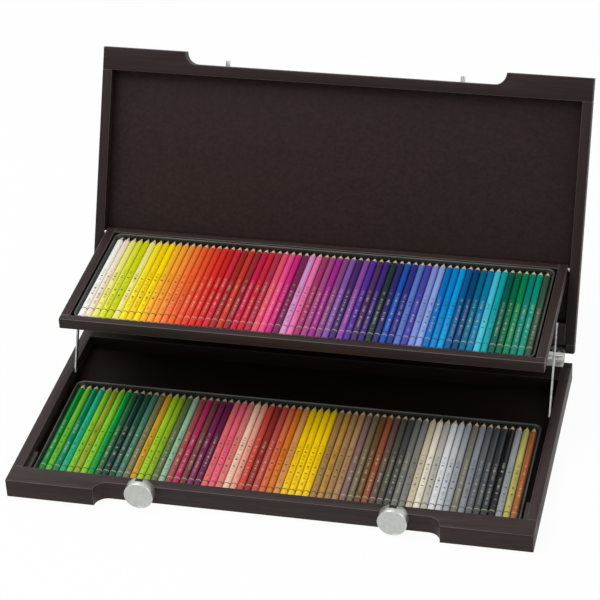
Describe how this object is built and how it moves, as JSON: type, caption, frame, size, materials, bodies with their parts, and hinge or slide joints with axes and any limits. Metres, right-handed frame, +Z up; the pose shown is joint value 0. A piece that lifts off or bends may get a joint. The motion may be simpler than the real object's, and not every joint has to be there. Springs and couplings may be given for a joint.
{
  "type": "pencil drawer box",
  "caption": "Shallow wooden drawer box for coloured pencils: hinged lid, tray that rises level on struts as the lid opens, flat tins of sharpened pencils, and turning latch knobs.",
  "frame": {"origin": "middle of the base's underside", "axes": "+X to the right along the front, +Y to the rear and the hinges, +Z up"},
  "size_m": [0.585, 0.4867, 0.3131],
  "materials": {
    "case_wood": "dark stained, satin, fine grain",
    "rest_block_wood": "stained grey-brown, matt",
    "tin_paint": "satin grey-green paint",
    "knob_aluminium": "brushed",
    "bright_steel": "plated, smooth",
    "hinge_steel": "satin",
    "lower_lacquer_1": "lacquered barrels, mid colour of the group",
    "lower_lacquer_2": "lacquered barrels, mid colour of the group",
    "lower_lacquer_3": "lacquered barrels, mid colour of the group",
    "lower_lacquer_4": "lacquered barrels, mid colour of the group",
    "lower_lacquer_5": "lacquered barrels, mid colour of the group",
    "lower_lacquer_6": "lacquered barrels, mid colour of the group",
    "upper_lacquer_1": "lacquered barrels, mid colour of the group",
    "upper_lacquer_2": "lacquered barrels, mid colour of the group",
    "upper_lacquer_3": "lacquered barrels, mid colour of the group",
    "upper_lacquer_4": "lacquered barrels, mid colour of the group",
    "upper_lacquer_5": "lacquered barrels, mid colour of the group",
    "upper_lacquer_6": "lacquered barrels, mid colour of the group",
    "upper_lacquer_7": "lacquered barrels, mid colour of the group",
    "upper_lacquer_8": "lacquered barrels, mid colour of the group"
  },
  "bodies": {
    "base": {"base_front_board": "case_wood", "base_side_board_left": "case_wood", "base_side_board_right": "case_wood", "base_back_board": "case_wood", "base_hinge_board": "case_wood", "base_floor": "case_wood", "rest_block_left": "rest_block_wood", "rest_block_right": "rest_block_wood", "lower_tin": "tin_paint", "strut_lower_pin_left": "bright_steel", "knob_spindle_left": "bright_steel", "hinge_base_leaf_left": "hinge_steel", "hinge_pin_left": "hinge_steel", "hinge_base_screws_left": "hinge_steel", "strut_lower_pin_right": "bright_steel", "knob_spindle_right": "bright_steel", "hinge_base_leaf_right": "hinge_steel", "hinge_pin_right": "hinge_steel", "hinge_base_screws_right": "hinge_steel", "lower_pencils_1": "lower_lacquer_1", "lower_pencils_2": "lower_lacquer_2", "lower_pencils_3": "lower_lacquer_3", "lower_pencils_4": "lower_lacquer_4", "lower_pencils_5": "lower_lacquer_5", "lower_pencils_6": "lower_lacquer_6"},
    "lid": {"lid_front_board": "case_wood", "lid_side_board_left": "case_wood", "lid_side_board_right": "case_wood", "lid_back_board": "case_wood", "lid_hinge_board": "case_wood", "lid_panel": "case_wood", "latch_pin_left": "bright_steel", "tray_pivot_pin_left": "bright_steel", "hinge_lid_leaf_left": "hinge_steel", "hinge_lid_screws_left": "hinge_steel", "latch_pin_right": "bright_steel", "tray_pivot_pin_right": "bright_steel", "hinge_lid_leaf_right": "hinge_steel", "hinge_lid_screws_right": "hinge_steel"},
    "tray": {"tray_front_rail": "case_wood", "tray_back_rail": "case_wood", "tray_side_rail_left": "case_wood", "tray_side_rail_right": "case_wood", "tray_floor": "case_wood", "upper_tin": "tin_paint", "strut_upper_pin_left": "bright_steel", "strut_upper_pin_right": "bright_steel", "upper_pencils_1": "upper_lacquer_1", "upper_pencils_2": "upper_lacquer_2", "upper_pencils_3": "upper_lacquer_3", "upper_pencils_4": "upper_lacquer_4", "upper_pencils_5": "upper_lacquer_5", "upper_pencils_6": "upper_lacquer_6", "upper_pencils_7": "upper_lacquer_7", "upper_pencils_8": "upper_lacquer_8"},
    "strut_left": {"strut_left": "bright_steel"},
    "strut_right": {"strut_right": "bright_steel"},
    "knob_left": {"knob_left": "knob_aluminium"},
    "knob_right": {"knob_right": "knob_aluminium"}
  },
  "joints": [
    {"name": "lid_hinge", "type": "hinge", "parent": "base", "child": "lid", "pos_m": [0, 0.166, 0.02265], "axis": [1, 0, 0], "range_deg": [0, 116.8]},
    {"name": "tray_pivot", "type": "hinge", "parent": "lid", "child": "tray", "pos_m": [0, 0.21496, 0.11425], "axis": [1, 0, 0], "range_deg": [-116.8, 0]},
    {"name": "strut_pivot_left", "type": "hinge", "parent": "base", "child": "strut_left", "pos_m": [0, 0.06016, 0.01685], "axis": [1, 0, 0], "range_deg": [0, 116.8]},
    {"name": "strut_pivot_right", "type": "hinge", "parent": "base", "child": "strut_right", "pos_m": [0, 0.06016, 0.01685], "axis": [1, 0, 0], "range_deg": [0, 116.8]},
    {"name": "knob_turn_left", "type": "hinge", "parent": "base", "child": "knob_left", "pos_m": [-0.1405, -0.1458, 0.0185], "axis": [0, -1, 0], "range_deg": [-90, 90]},
    {"name": "knob_turn_right", "type": "hinge", "parent": "base", "child": "knob_right", "pos_m": [0.1405, -0.1458, 0.0185], "axis": [0, -1, 0], "range_deg": [-90, 90]}
  ],
  "couplings": [
    {"joint": "tray_pivot", "follows": "lid_hinge", "ratio": -1},
    {"joint": "strut_pivot_left", "follows": "lid_hinge", "ratio": 1},
    {"joint": "strut_pivot_right", "follows": "lid_hinge", "ratio": 1}
  ]
}
